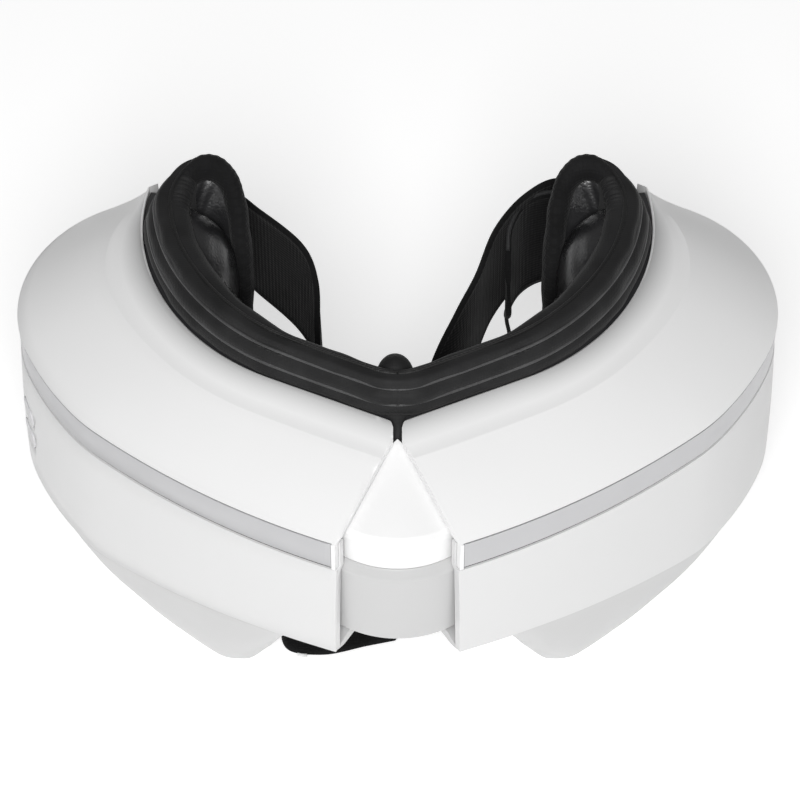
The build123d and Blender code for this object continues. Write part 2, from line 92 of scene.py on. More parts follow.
# rim length, lip length, crease as a share of the width, wall's lower edge, housing's underside, tuck
STATIONS = np.array([
    (-12.0, -12.0, 0.70, -43.0, -45.0, 2.0),
    (0.0, 0.0, 0.70, -43.0, -45.0, 2.0),
    (13.0, 11.0, 0.70, -43.6, -46.5, 2.0),
    (22.0, 19.0, 0.70, -44.2, -60.0, 2.5),
    (30.0, 26.0, 0.70, -45.0, -72.0, 3.5),
    (40.0, 34.0, 0.70, -46.0, -77.6, 4.5),
    (57.0, 47.0, 0.70, -48.0, -78.0, 6.5),
    (75.0, 61.5, 0.71, -50.0, -78.0, 9.5),
    (90.0, 70.0, 0.70, -50.0, -78.0, 11.5),
    (104.0, 78.0, 0.69, -50.0, -78.0, 13.0),
    (120.0, 84.5, 0.69, -50.0, -76.0, 13.0),
    (133.0, 91.5, 0.70, -50.0, -70.0, 11.0),
    (146.4, 98.0, 0.73, -50.0, -62.0, 8.0),
    (159.7, 103.5, 0.77, -49.0, -55.0, 5.0),
    (169.6, 108.0, 0.72, -49.0, -52.0, 3.0),
])
RIM_END = STATIONS[-1, 0]


def monotone(xs, ys, x):
    """Smooth curve through the stations that never overshoots them."""
    steps, slopes = np.diff(xs), np.diff(ys) / np.diff(xs)
    tangent = np.zeros(len(xs))
    for i in range(1, len(xs) - 1):
        if slopes[i - 1] * slopes[i] > 0:
            a, b = 2 * steps[i] + steps[i - 1], steps[i] + 2 * steps[i - 1]
            tangent[i] = (a + b) / (a / slopes[i - 1] + b / slopes[i])
    tangent[0], tangent[-1] = slopes[0], slopes[-1]
    k = int(np.clip(np.searchsorted(xs, x) - 1, 0, len(steps) - 1))
    h = steps[k]
    t = (x - xs[k]) / h
    return (ys[k] * (1 + 2 * t) * (1 - t) ** 2 + ys[k + 1] * t * t * (3 - 2 * t)
            + h * tangent[k] * t * (1 - t) ** 2 + h * tangent[k + 1] * t * t * (t - 1))


def station(length):
    """The table's columns at any rim length."""
    return [monotone(STATIONS[:, 0], STATIONS[:, i], length) for i in range(1, 6)]


def station_at_lip(length):
    """The housing's underside at any lip length."""
    return monotone(STATIONS[:, 1], STATIONS[:, 4], length)


STEP = 0.25


def trace(start, heading, pieces):
    """Points and headings every STEP along a line, given as pieces of (length, degrees turned)."""
    rows, point, angle = [], np.array(start, float), radians(heading)
    for length, turn in pieces:
        count = int(round(length / STEP))
        for _ in range(count):
            rows.append((point[0], point[1], angle))
            bend = radians(turn) / count
            point = point + STEP * np.array([cos(angle + bend / 2), sin(angle + bend / 2)])
            angle += bend
    rows.append((point[0], point[1], angle))
    return np.array(rows)


def turned(length, radius):
    """The degrees that an arc turns through."""
    return length / radius * 180 / pi


# Both lines lead in before the CAD's own start, so that each piece runs past the plane that ends it.
LEAD, LEAD_TURN = 14.0, 3.4
TEMPLE_RUN, LIP_RUN = 90.0, 95.0
side_length = SIDE_RADIUS * radians(SIDE_TURN)
lead_heading = radians(FRONT_HEADING - LEAD_TURN / 2)
lead_start = (RIM_START[0] - LEAD * cos(lead_heading), RIM_START[1] - LEAD * sin(lead_heading))
half_corner = CORNER_LENGTH / 2
RIM_LINE = trace(lead_start, FRONT_HEADING - LEAD_TURN, [
    (LEAD, LEAD_TURN),
    (FRONT_LENGTH - half_corner, turned(FRONT_LENGTH, FRONT_RADIUS)),
    (CORNER_LENGTH, CORNER_TURN),
    (side_length - half_corner, SIDE_TURN),
    (TEMPLE_RUN, turned(TEMPLE_RUN, TEMPLE_RADIUS)),
])
slant = radians(LIP_HEADING)
lip_lead = (LIP_START[0] - LEAD * cos(slant), LIP_START[1] - LEAD * sin(slant))
LIP_LINE = trace(lip_lead, LIP_HEADING, [
    (LEAD + LIP_STRAIGHT, 0.0),
    (LIP_RUN, turned(LIP_RUN, LIP_RADIUS)),
])


def on_line(line, length, lead=LEAD):
    """A traced line's point and heading at a length."""
    at = (length + lead) / STEP
    k = int(np.clip(at, 0, len(line) - 2))
    return line[k] + (line[k + 1] - line[k]) * (at - k)


def shell_section(length):
    """Start point, inward direction and width of the section at a rim length."""
    a, b = on_line(RIM_LINE, length), on_line(LIP_LINE, station(length)[0])
    inward = b[:2] - a[:2]
    width = hypot(*inward)
    return a[:2], inward / width, width


def to_frame(points):
    """Millimetres about the pin to metres in the frame."""
    out = np.array(points, float) * MM
    out[:, 1] += PIN.y
    out[:, 2] += RIM_Z
    return out


def turns(count):
    return [2 * pi * k / count for k in range(count)]


def grid_object(name, rows, cap=True):
    """A mesh from closed rows of points, filled at both ends, or with cap="end" at the last alone."""
    around = len(rows[0])
    bm = bmesh.new()
    verts = [bm.verts.new(p) for row in rows for p in row]
    for i in range(len(rows) - 1):
        for j in range(around):
            a, b = i * around + j, i * around + (j + 1) % around
            bm.faces.new((verts[a], verts[b], verts[b + around], verts[a + around]))
    if cap is True:
        bm.faces.new(verts[:around][::-1])
    if cap:
        bm.faces.new(verts[-around:])
    return new_object(name, bm)


def show(obj):
    bpy.context.scene.collection.objects.link(obj)


def new_object(name, bm):
    bmesh.ops.recalc_face_normals(bm, faces=bm.faces)
    mesh = bpy.data.meshes.new(name)
    bm.to_mesh(mesh)
    bm.free()
    mesh.shade_smooth()
    obj = bpy.data.objects.new(name, mesh)
    show(obj)
    return obj


def apply_modifier(obj, kind, **settings):
    """Add one modifier and keep its result as the mesh."""
    modifier = obj.modifiers.new(kind.lower(), kind)
    for key, value in settings.items():
        setattr(modifier, key, value)
    view = bpy.context.evaluated_depsgraph_get()
    result = bpy.data.meshes.new_from_object(obj.evaluated_get(view))
    obj.modifiers.remove(modifier)
    old = obj.data
    obj.data = result
    result.name = old.name
    bpy.data.meshes.remove(old)
    return obj


@contextmanager
def edited(obj):
    """An object's mesh as a bmesh, written back afterwards."""
    bm = bmesh.new()
    bm.from_mesh(obj.data)
    yield bm
    bm.to_mesh(obj.data)
    bm.free()


def slice_off(obj, point, normal):
    """Cut away what lies on the normal's side of a plane, and close the cut."""
    with edited(obj) as bm:
        geometry = bm.verts[:] + bm.edges[:] + bm.faces[:]
        bmesh.ops.bisect_plane(bm, geom=geometry, dist=1e-7, plane_co=point, plane_no=normal,
                               clear_outer=True)
        edges = [e for e in bm.edges if e.is_boundary]
        if edges:
            bmesh.ops.holes_fill(bm, edges=edges, sides=0)
        bmesh.ops.recalc_face_normals(bm, faces=bm.faces)
    return obj


def soften(obj, width, angle=11, segments=2):
    """Round the edges and creases finely and keep the flats between them flat-shaded."""
    apply_modifier(obj, "BEVEL", width=width * MM, segments=segments, limit_method="ANGLE",
                   angle_limit=radians(angle), harden_normals=False, miter_outer="MITER_ARC")
    obj.data.shade_smooth()
    apply_modifier(obj, "WEIGHTED_NORMAL", keep_sharp=False, weight=60)
    return obj


def subtract(obj, tool):
    apply_modifier(obj, "BOOLEAN", object=tool, operation="DIFFERENCE", solver="EXACT")
    bpy.data.objects.remove(tool)


def carve(obj, outline, low, high):
    """Cut an upright prism out of a piece; the outline and heights are in millimetres about the pin."""
    subtract(obj, grid_object("tool", [to_frame([(x, y, z) for x, y in outline]) for z in (low, high)]))
    return obj


FRONT_PLANE = (-cos(radians(FRONT_CUT)), -sin(radians(FRONT_CUT)), 0)


def cut_front(obj, gap=0.0):
    """End a half's piece at the upright plane through the pin, gap millimetres short of it."""
    point = Vector((0, PIN.y, 0)) - Vector(FRONT_PLANE) * gap * MM
    return slice_off(obj, point, FRONT_PLANE)


def sweep(name, outline, lengths):
    """Carry a section outline (distance in, height) round the shell."""
    rows = []
    for length in lengths:
        start, inward, width = shell_section(length)
        flat = outline(length, width)
        points = [(start[0] + w * inward[0], start[1] + w * inward[1], z) for w, z in flat]
        rows.append(to_frame(points))
    return grid_object(name, rows)


def mirrored(obj, name):
    """The same piece for the half on -X."""
    twin = obj.copy()
    twin.data = obj.data.copy()
    twin.name = name
    show(twin)
    with edited(twin) as bm:
        for v in bm.verts:
            v.co.x = -v.co.x
        bmesh.ops.reverse_faces(bm, faces=bm.faces)
    return twin


def bend_across(piece):
    """Bake a soft piece's placement into its mesh, leaving it unattached to either half."""
    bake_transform(piece)


def finish(obj, mat, side=None):
    """Finish a single piece with its material: it rides on the bridge, or, when a side is given, keeps its
    baked placement without a body.
    """
    obj.data.materials.append(mat)
    if side:
        bend_across(obj)
    else:
        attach(obj, "bridge")
    return obj


def pair(obj, name, mat, node="", across=False):
    """Finish a right-hand piece and its left-hand twin: material, body (none for pieces across, whose
    placement is baked), and the CAD node replaced.
    """
    obj.name = "right_" + name
    for side, piece in (("right", obj), ("left", mirrored(obj, "left_" + name))):
        piece.data.materials.clear()
        piece.data.materials.append(mat)
        if across:
            bend_across(piece)
        else:
            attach(piece, side + "_half")
        if node:
            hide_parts(side + "_" + node)


# ---- materials
def shader_of(mat):
    return mat.node_tree.nodes["Principled BSDF"]


def material(name, colour, roughness, metallic=0.0, specular=0.5):
    """A plain material whose colour is one grey, or red, green and blue."""
    rgb = colour if isinstance(colour, tuple) else (colour,) * 3
    mat = bpy.data.materials.new(name)
    mat.use_nodes = True
    shader = shader_of(mat)
    shader.inputs["Base Color"].default_value = (*rgb, 1)
    shader.inputs["Roughness"].default_value = roughness
    shader.inputs["Metallic"].default_value = metallic
    shader.inputs["Specular IOR Level"].default_value = specular
    return mat


def add_node(mat, kind, **settings):
    """A shader node whose settings are given by property or by input name."""
    node = mat.node_tree.nodes.new(kind)
    for key, value in settings.items():
        if key in node.inputs:
            node.inputs[key].default_value = value
        else:
            setattr(node, key, value)
    return node


def link(mat, output, entry):
    mat.node_tree.links.new(output, entry)


def placed(mat, kind, **settings):
    """A node that is fed with the object's own coordinates, in metres."""
    node = add_node(mat, kind, **settings)
    link(mat, add_node(mat, "ShaderNodeTexCoord").outputs["Object"], node.inputs["Vector"])
    return node


def object_noise(mat, scale, detail):
    """Noise whose patches are about 1 / scale metres wide."""
    return placed(mat, "ShaderNodeTexNoise", Scale=scale, Detail=detail).outputs["Fac"]


NOISE_SPAN = (0.3, 0.7)  # nearly all of a noise texture's values lie between these
WAVE_PERIOD = 0.314  # the width of a wave texture's band at scale 1, in metres


def vary_tone(mat, scale, share):
    """Make the colour drift by a share of itself, in patches about 1 / scale metres wide."""
    colour = shader_of(mat).inputs["Base Color"]
    ramp = add_node(mat, "ShaderNodeValToRGB")
    for stop, place, factor in zip(ramp.color_ramp.elements, NOISE_SPAN, (1 - share, 1 + share)):
        stop.position = place
        stop.color = [min(1.0, c * factor) for c in colour.default_value[:3]] + [1.0]
    link(mat, object_noise(mat, scale, 4.0), ramp.inputs["Fac"])
    link(mat, ramp.outputs["Color"], colour)


def vary_roughness(mat, scale, spread):
    """Handling marks: roughness that drifts by the spread either way."""
    rough = shader_of(mat).inputs["Roughness"]
    middle = rough.default_value
    spans = add_node(mat, "ShaderNodeMapRange", **{
        "From Min": NOISE_SPAN[0], "From Max": NOISE_SPAN[1],
        "To Min": middle - spread, "To Max": middle + spread})
    link(mat, object_noise(mat, scale, 5.0), spans.inputs["Value"])
    link(mat, spans.outputs["Result"], rough)


def add_relief(mat, height, strength, distance):
    """Raise the surface by a height output, on top of any relief that it has already."""
    normal = shader_of(mat).inputs["Normal"]
    bump = add_node(mat, "ShaderNodeBump", Strength=strength, Distance=distance)
    if normal.links:
        link(mat, normal.links[0].from_socket, bump.inputs["Normal"])
    link(mat, height, bump.inputs["Height"])
    link(mat, bump.outputs["Normal"], normal)


def moulded(mat, strength=0.08):
    """The fine texture of moulded plastic, with the faintest waviness."""
    add_relief(mat, object_noise(mat, 1500, 3.0), strength, 0.0001)
    add_relief(mat, object_noise(mat, 60, 1.0), 0.02, 0.0004)
    vary_roughness(mat, 90, 0.03)
    return mat


def woven(mat, pitch, strength):
    """Threads that cross in all three directions, with fuzz and uneven dye."""
    x, y, z = (placed(mat, "ShaderNodeTexWave", bands_direction=direction, Scale=WAVE_PERIOD / pitch,
                      Distortion=0.6).outputs["Fac"] for direction in "XYZ")
    total = x
    for wave in (y, z):
        add = add_node(mat, "ShaderNodeMath", operation="ADD")
        link(mat, total, add.inputs[0])
        link(mat, wave, add.inputs[1])
        total = add.outputs["Value"]
    add_relief(mat, total, strength, pitch * 0.12)
    add_relief(mat, object_noise(mat, 2500, 2.0), 0.35, 0.00015)
    vary_tone(mat, 130, 0.3)
    vary_roughness(mat, 200, 0.06)
    shader_of(mat).inputs["Sheen Weight"].default_value = 0.06
    shader_of(mat).inputs["Sheen Roughness"].default_value = 0.5
    return mat


def grained(mat, cell, strength):
    """Leather grain: small cells with creases between them, and broader wrinkles."""
    cells = placed(mat, "ShaderNodeTexVoronoi", feature="DISTANCE_TO_EDGE", Scale=1 / cell)
    add_relief(mat, cells.outputs["Distance"], strength, cell * 0.25)
    add_relief(mat, object_noise(mat, 140, 3.0), 0.25, 0.0008)
    vary_tone(mat, 80, 0.25)
    vary_roughness(mat, 160, 0.06)
    return mat


def height_ramp(mat, low, high, tone_low, tone_high):
    """A grey that runs from one tone to another with height."""
    split = placed(mat, "ShaderNodeSeparateXYZ")
    share = add_node(mat, "ShaderNodeMapRange", **{"From Min": low, "From Max": high})
    ramp = add_node(mat, "ShaderNodeValToRGB")
    for stop, tone in zip(ramp.color_ramp.elements, (tone_low, tone_high)):
        stop.color = (tone, tone, tone, 1)
    link(mat, split.outputs["Z"], share.inputs["Value"])
    link(mat, share.outputs["Result"], ramp.inputs["Fac"])
    link(mat, ramp.outputs["Color"], shader_of(mat).inputs["Base Color"])


def brushed(mat):
    """Fine satin streaks that run round the mask."""
    stretch = placed(mat, "ShaderNodeMapping", Scale=(60, 60, 6000))
    streaks = add_node(mat, "ShaderNodeTexNoise", Scale=1.0, Detail=3.0)
    link(mat, stretch.outputs["Vector"], streaks.inputs["Vector"])
    add_relief(mat, streaks.outputs["Fac"], 0.1, 0.0001)
    vary_roughness(mat, 120, 0.05)
    return mat


white_gloss = moulded(material("white_gloss", 0.86, 0.34), 0.03)
# The collar's hollow: the cover's white with painted shade from the ring, running darker towards the lip.
white_collar = moulded(material("white_collar", 0.80, 0.36), 0.03)
height_ramp(white_collar, (CREASE_Z + 1) * MM + RIM_Z, LIP_Z * MM + RIM_Z, 0.86, 0.40)
# The front wall and the end caps: the cover's white plastic made darker, painted shade for the upright wall.
white_wall = moulded(material("white_wall", 0.69, 0.36), 0.04)
# The cheek housing: a satin finish, its white made darker as painted shade for its downward-facing lobes.
white_satin = moulded(material("white_satin", 0.57, 0.42), 0.12)
# The bridge body: the cap's white plastic made darker as painted shade.
bridge_white_painted_shade = moulded(material("bridge_white_painted_shade", 0.54, 0.34), 0.04)
silver = brushed(material("silver_trim", (0.52, 0.52, 0.53), 0.38, metallic=0.5))
button_grey = moulded(material("button_grey", (0.62, 0.62, 0.63), 0.4))
dark_plastic = moulded(material("dark_plastic", (0.03, 0.03, 0.032), 0.5), 0.2)
# Dark grey of the boards, also the colour of the painted shade in the silver strip's seams.
gasket_grey = moulded(material("gasket_grey", (0.05, 0.05, 0.052), 0.7), 0.2)
light_lens = moulded(material("light_lens", (0.9, 0.93, 0.95), 0.2))
socket_metal = brushed(material("socket_metal", (0.62, 0.62, 0.63), 0.3, metallic=1.0))
steel = brushed(material("steel", (0.55, 0.55, 0.56), 0.35, metallic=1.0))
black_fabric = woven(material("black_fabric", (0.013, 0.013, 0.0134), 0.7, specular=0.25), 0.0007, 0.22)
knit_band = woven(material("knit_band", (0.009, 0.009, 0.0094), 0.85, specular=0.2), 0.0009, 0.5)
black_leather = grained(material("black_leather", (0.017, 0.017, 0.018), 0.3, specular=0.7), 0.0011, 0.3)
welt_cloth = woven(material("welt_cloth", (0.05, 0.05, 0.051), 0.5), 0.0008, 0.25)
thread_black = woven(material("thread_black", 0.003, 0.6), 0.0005, 0.5)
silicone = grained(material("silicone", (0.02, 0.02, 0.021), 0.45), 0.0016, 0.1)
elastic = woven(material("strap_elastic", (0.005, 0.005, 0.0053), 0.85, specular=0.2), 0.0009, 0.5)
bound_edge = woven(material("bound_edge", (0.018, 0.018, 0.019), 0.7), 0.0008, 0.5)
tag_white = woven(material("tag_white", 0.75, 0.8), 0.0006, 0.3)


# ---- shells of each half
def arc_points(a, middle, b, count):
    """Points on the circle through three points, from a to b."""
    (ax, ay), (bx, by), (cx, cy) = a, middle, b
    d = 2 * (ax * (by - cy) + bx * (cy - ay) + cx * (ay - by))
    ux = ((ax**2 + ay**2) * (by - cy) + (bx**2 + by**2) * (cy - ay) + (cx**2 + cy**2) * (ay - by)) / d
    uy = ((ax**2 + ay**2) * (cx - bx) + (bx**2 + by**2) * (ax - cx) + (cx**2 + cy**2) * (bx - ax)) / d
    radius = hypot(ax - ux, ay - uy)
    t0 = np.arctan2(ay - uy, ax - ux)
    sweep_angle = (np.arctan2(cy - uy, cx - ux) - t0 + pi) % (2 * pi) - pi
    return [(ux + radius * cos(t), uy + radius * sin(t))
            for t in (t0 + sweep_angle * k / count for k in range(count + 1))]


FACET_BULGE, COVE_RISE, LIP_WIDTH = 0.35, 1.35, 0.5


def cover_outline(length, width):
    """A slightly bulged facet up to the crease, then a hollow collar up to the lip."""
    crease = width * station(length)[1]
    edge = width - LIP_WIDTH
    facet = [(crease * u, CREASE_Z * u + FACET_BULGE * sin(pi * u)) for u in (k / 8 for k in range(9))]
    cove = arc_points((crease, CREASE_Z), ((crease + edge) / 2, CREASE_Z + COVE_RISE), (edge, LIP_Z), 8)[1:]
    inside = [(width, LIP_Z - 0.4), (width, 9.0), (width - 1.4, 9.0), (width - 1.4, LIP_Z - 4.2),
              (crease, CREASE_Z - WALL - 0.3), (3.6, -0.0), (1.6, -0.05)]
    return facet + cove + inside


def strip_outline(length, width):
    low = -STRIP_HEIGHT + 0.75
    return [(0.15, -SEAM - 0.2), (0.15, low), (1.6, low), (1.6, -SEAM - 0.2)]


WALL_BULGE = 0.3


def wall_outline(length, width):
    foot = station(length)[2]
    top = -STRIP_HEIGHT - 0.1
    outer = [(-WALL_DRAFT * k / 6 - WALL_BULGE * sin(pi * k / 6), top + (foot - top) * k / 6)
             for k in range(7)]
    inside = [(-WALL_DRAFT + WALL, foot), (WALL, top - 1.5), (3.3, top - 0.5), (3.3, -1.2), (1.75, -1.2)]
    return outer + inside + [(1.75, top)]


SIDE_POINTS = 9
SIDE_BULGE = 1.6


def housing_outline(length, width):
    """A side that tucks in, a rounded corner and a flat underside."""
    _, _, foot_top, foot, tuck = station(length)
    top = foot_top - 0.35
    drop = top - foot
    inner = width - 0.2
    corner = min(3.0, 0.3 * drop + 0.2)
    outer = [(-WALL_DRAFT + 0.5, top)]
    low = (tuck + 1.2, foot)
    side = np.array([low[0] - outer[0][0], low[1] - outer[0][1]])
    for k in range(1, SIDE_POINTS + 1):
        u = k / (SIDE_POINTS + 1)
        bulge = SIDE_BULGE * sin(pi * u) * min(1, drop / 20)
        outer.append((outer[0][0] + side[0] * u - bulge, top + side[1] * u))
    size = hypot(*side)
    outer = [p for p in outer if hypot(p[0] - low[0], p[1] - low[1]) > corner]
    while len(outer) < SIDE_POINTS:
        outer.append(outer[-1])
    outer = outer[:SIDE_POINTS]
    corner_arc = [(low[0] - side[0] / size * corner * (1 - u) ** 2 + corner * u**2,
                   low[1] - side[1] / size * corner * (1 - u) ** 2) for u in (0, 0.25, 0.5, 0.75, 1.0)]
    inside = [(inner - 2.5, foot), (inner, foot + 3.0), (inner, foot + 8.0), (inner - WALL, foot + 8.0),
              (inner - WALL - 1, foot + 3.2), (tuck + 2.6, foot + 3.2), (-WALL_DRAFT + 2.5, top)]
    return outer + corner_arc + inside


LENGTHS = np.concatenate([np.arange(-10, 68, 1.5), np.arange(68, 84, 0.75), np.arange(84, RIM_END, 1.5),
                          [RIM_END]])

# The collar's corners are rounded off where the two halves meet behind the bridge.
NOSE_CORNER = [(-2, -3), (1.1, -3), (1.1, 0.6), (1.4, 1.4), (2.0, 2.3), (3.0, 3.2), (3.0, 9), (-2, 9)]
cover = carve(cut_front(sweep("cover", cover_outline, LENGTHS)), NOSE_CORNER, -6, LIP_Z + 6)
pair(soften(cover, 0.35), "top_cover_skin", white_gloss, "top_cover")


def shade_collar(obj):
    """Paint shade into the hollow of the collar, darker towards the lip beside the ring, and leave the
    crease and the lip bright.
    """
    obj.data.materials.append(white_collar)
    low, high = RIM_Z + (CREASE_Z + 0.2) * MM, RIM_Z + (LIP_Z - 0.25) * MM
    for face in obj.data.polygons:
        if low < face.center.z < high and face.normal.z > 0.05:
            face.material_index = 1


for side in ("right_", "left_"):
    shade_collar(bpy.data.objects[side + "top_cover_skin"])

strip = cut_front(sweep("strip", strip_outline, LENGTHS), gap=1.5)
pair(soften(strip, 0.15), "trim_strip_skin", silver, "trim_strip")


def border_outline(length, width):
    """The raised white bar that frames the strip's end at the bridge."""
    low, high = -STRIP_HEIGHT + 0.3, -SEAM + 0.1
    return [(-0.15, high), (-0.15, low), (1.5, low), (1.5, high)]


def gasket_outline(length, width):
    """A dark strip of painted shade set in the seams above and below the silver strip, where the deep gap
    lies in shade.
    """
    foot = -STRIP_HEIGHT - 0.6
    return [(0.6, 0.3), (0.6, foot), (1.9, foot), (1.9, 0.3)]


border = cut_front(sweep("border", border_outline, LENGTHS[:20]), gap=0.3)
border = slice_off(border, Vector((0, PIN.y, 0)) - Vector(FRONT_PLANE) * 1.3 * MM, [-c for c in FRONT_PLANE])
pair(soften(border, 0.12), "trim_border", white_gloss)
# Painted shade: a dark strip in the seams above and below the silver strip.
gasket = cut_front(sweep("gasket", gasket_outline, LENGTHS), gap=0.5)
pair(soften(gasket, 0.1), "seam_gasket", gasket_grey)

wall = cut_front(sweep("wall", wall_outline, LENGTHS))
pair(soften(wall, 0.3), "front_shell_skin", white_wall, "front_shell")

KEYHOLE_SPAN, KEYHOLE_SHARE = (-2.0, 1.7), 1.06  # across the wall; size against the key


def cut_keyhole(shell, node, joint):
    """Open the wall round a key, so that the key still shows when it is pressed in."""
    press = Vector(next(j for j in frame["joints"] if j["name"] == joint)["axis"]).normalized()
    key = bpy.data.objects[node]
    points = [key.matrix_world @ v.co for v in key.data.vertices]
    front = min(p.dot(press) for p in points)
    rim = [p for p in points if p.dot(press) < front + 0.1 * MM]
    middle = sum(rim, Vector()) / len(rim)
    bm = bmesh.new()
    for p in rim:
        for shift in KEYHOLE_SPAN:
            bm.verts.new(middle + (p - middle) * KEYHOLE_SHARE + press * shift * MM)
    bmesh.ops.remove_doubles(bm, verts=bm.verts, dist=1e-6)
    bmesh.ops.convex_hull(bm, input=bm.verts)
    subtract(shell, new_object("tool", bm))


for node, joint in (("left_power_button", "power_press"), ("left_mode_button", "mode_press")):
    cut_keyhole(bpy.data.objects["left_front_shell_skin"], node, joint)

housing = cut_front(sweep("housing", housing_outline, LENGTHS), gap=0.3)
pair(soften(housing, 0.3, angle=40), "cheek_housing_skin", white_satin, "cheek_housing")

# ---- bridge
BRIDGE_SPAN, BRIDGE_STEPS = 56.0, 56  # degrees to each side of the front, and steps in all


def bridge_piece(name, outline, node, mat):
    """Turn an outline (radius, height) about the pin and close its ends."""
    rows = []
    for k in range(BRIDGE_STEPS + 1):
        angle = radians(-90 - BRIDGE_SPAN + 2 * BRIDGE_SPAN * k / BRIDGE_STEPS)
        rows.append(to_frame([(r * cos(angle), r * sin(angle), z) for r, z in outline]))
    obj = grid_object(name, rows)
    with edited(obj) as bm:
        bmesh.ops.remove_doubles(bm, verts=bm.verts, dist=1e-6)
        bmesh.ops.recalc_face_normals(bm, faces=bm.faces)
    finish(soften(obj, 0.2), mat)
    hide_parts(node)


CAP_OUTLINE = [(0.0, 11.3), (6.0, 8.5), (12.0, 5.6), (18.0, 2.7), (22.6, 0.4), (23.7, -0.6), (24.0, -2.0),
               (24.0, -10.0), (22.0, -10.0), (22.0, -2.0), (0.0, 8.6)]
BODY_OUTLINE = [(24.1, -10.2), (25.5, -12.2), (25.9, -13.2), (25.9, -36.4), (25.4, -37.0), (0.0, -37.0),
                (0.0, -35.5), (23.9, -35.5), (23.9, -13.9), (21.0, -12.6), (21.0, -10.2)]
bridge_piece("bridge_cap_skin", CAP_OUTLINE, "bridge_cap", white_gloss)
bridge_piece("bridge_body_skin", BODY_OUTLINE, "bridge_body", bridge_white_painted_shade)

# ---- face side: the padded ring
# Its line is the lip line with the corner beside the nose rounded, from the mid-plane to the temple.
NOSE_RADIUS = 20.0
corner_y = LIP_START[1] - LIP_START[0] * tan(slant)
round_length = NOSE_RADIUS * slant
past_corner = LIP_STRAIGHT + LIP_START[0] / cos(slant) - NOSE_RADIUS * tan(slant)
NOSE_LENGTH = LIP_STRAIGHT - past_corner - round_length
PAD_LINE = trace((0.0, corner_y + NOSE_RADIUS * (1 / cos(slant) - 1)), 0.0, [
    (round_length, LIP_HEADING),
    (past_corner, 0.0),
    (LIP_RUN, turned(LIP_RUN, LIP_RADIUS)),
])

PAD_BACK, PAD_NOSE_DEPTH, PAD_TEMPLE_DEPTH, PAD_END_DEPTH = 2.8, 9.8, 13.2, 20.5
RECESS_FLOOR = 2.6
# Seams round the top of the ring, at the nose and at the temple: distance from the lip and height.
NOSE_SEAMS = [(0.9, 15.0), (1.3, 18.2), (2.6, 22.0), (5.9, 24.6), (8.8, 21.0)]
TEMPLE_SEAMS = [(0.9, 15.6), (1.5, 19.6), (3.3, 23.6), (7.4, 26.2), (12.4, 23.2)]
BANDS = [0.9, 1.0, 2.0, 1.2]  # how far each band between two seams is padded out
# The recess round the eye: lip length, lower edge and upper edge.
RECESS_MIDDLE, RECESS_HALF = 56.0, 43.0
RECESS = np.array([
    (13.0, -34.0, 8.0), (20.0, -44.0, 9.0), (27.0, -55.0, 10.0), (40.0, -58.0, 10.0), (55.0, -58.0, 11.0),
    (72.0, -57.0, 15.0), (84.0, -53.0, 20.0), (92.0, -47.0, 21.0), (99.0, -40.0, 17.0),
])


def smooth(t):
    t = min(1.0, max(0.0, t))
    return t * t * (3 - 2 * t)


def pad_point(length, x, z):
    """A point of the face side from its lip length, distance from the lip and height."""
    px, py, angle = on_line(PAD_LINE, length, -NOSE_LENGTH)
    return (px - x * sin(angle), py + x * cos(angle), z)


def nose_to_temple(length):
    """0 beside the nose and 1 at the temple."""
    return smooth((length - 15) / 50)


def seam(index, length):
    t = nose_to_temple(length)
    return tuple(a + (b - a) * t for a, b in zip(NOSE_SEAMS[index], TEMPLE_SEAMS[index]))


def recess_edge(length):
    """The height of the recess's middle, and half its height."""
    length = min(max(length, RECESS[0, 0]), RECESS[-1, 0])
    foot = monotone(RECESS[:, 0], RECESS[:, 1], length)
    top = monotone(RECESS[:, 0], RECESS[:, 2], length)
    return (foot + top) / 2, (top - foot) / 2


def recess_depth(length, z):
    """Roughly how far a point of the face side lies inside the recess, in millimetres."""
    middle, half = recess_edge(length)
    u, v = (length - RECESS_MIDDLE) / RECESS_HALF, (z - middle) / half
    return 32.0 * (1 - (u**4 + v**4) ** 0.25)


def ring_depth(length, z):
    """How far the ring stands out from the lip on its face side."""
    temple = smooth((length - 92) / 9)
    cheek = smooth((-42 - z) / 14) * smooth((length - 20) / 60)
    top = PAD_NOSE_DEPTH + (PAD_TEMPLE_DEPTH - PAD_NOSE_DEPTH) * nose_to_temple(length)
    deep = top + (PAD_END_DEPTH - top) * max(0.1 * temple, cheek)
    inside = recess_depth(length, z)
    deep += 0.9 * smooth((inside + 9) / 7) - 0.9
    edge = seam(4, length)
    deep = edge[0] + (deep - edge[0]) * smooth((edge[1] - z) / 7)
    return RECESS_FLOOR + (deep - RECESS_FLOOR) * (1 - smooth(inside / 6))


def bulged(a, b, rise, count):
    """Points from a towards b, b left out, padded out to the left of the way they run."""
    run = (b[0] - a[0], b[1] - a[1])
    size = hypot(*run)
    out = (-run[1] / size * rise, run[0] / size * rise)
    return [tuple(a[i] + run[i] * t + out[i] * sin(pi * t) ** 0.8 for i in (0, 1))
            for t in (k / count for k in range(count))]


END_START, RING_END, END_DEPTH = 92.0, 112.0, 15.5


def rounded_end(length, x, z):
    """Draw a section in towards the temple end, where the ring closes."""
    t = min(1.0, max(0.0, (length - END_START) / (RING_END - END_START)))
    keep = (1 - 0.97 * t ** 1.6) ** 0.55
    x = END_DEPTH + (x - END_DEPTH) * keep
    if z < -6:
        z = -6 + (z + 6) * (0.35 + 0.65 * keep)
    return x, z


def gathers(length):
    """Puckers where the inner band is gathered round the temple."""
    return sin(2 * pi * length / 1.9 + 1.5 * sin(length)) * smooth((length - 88) / 7)


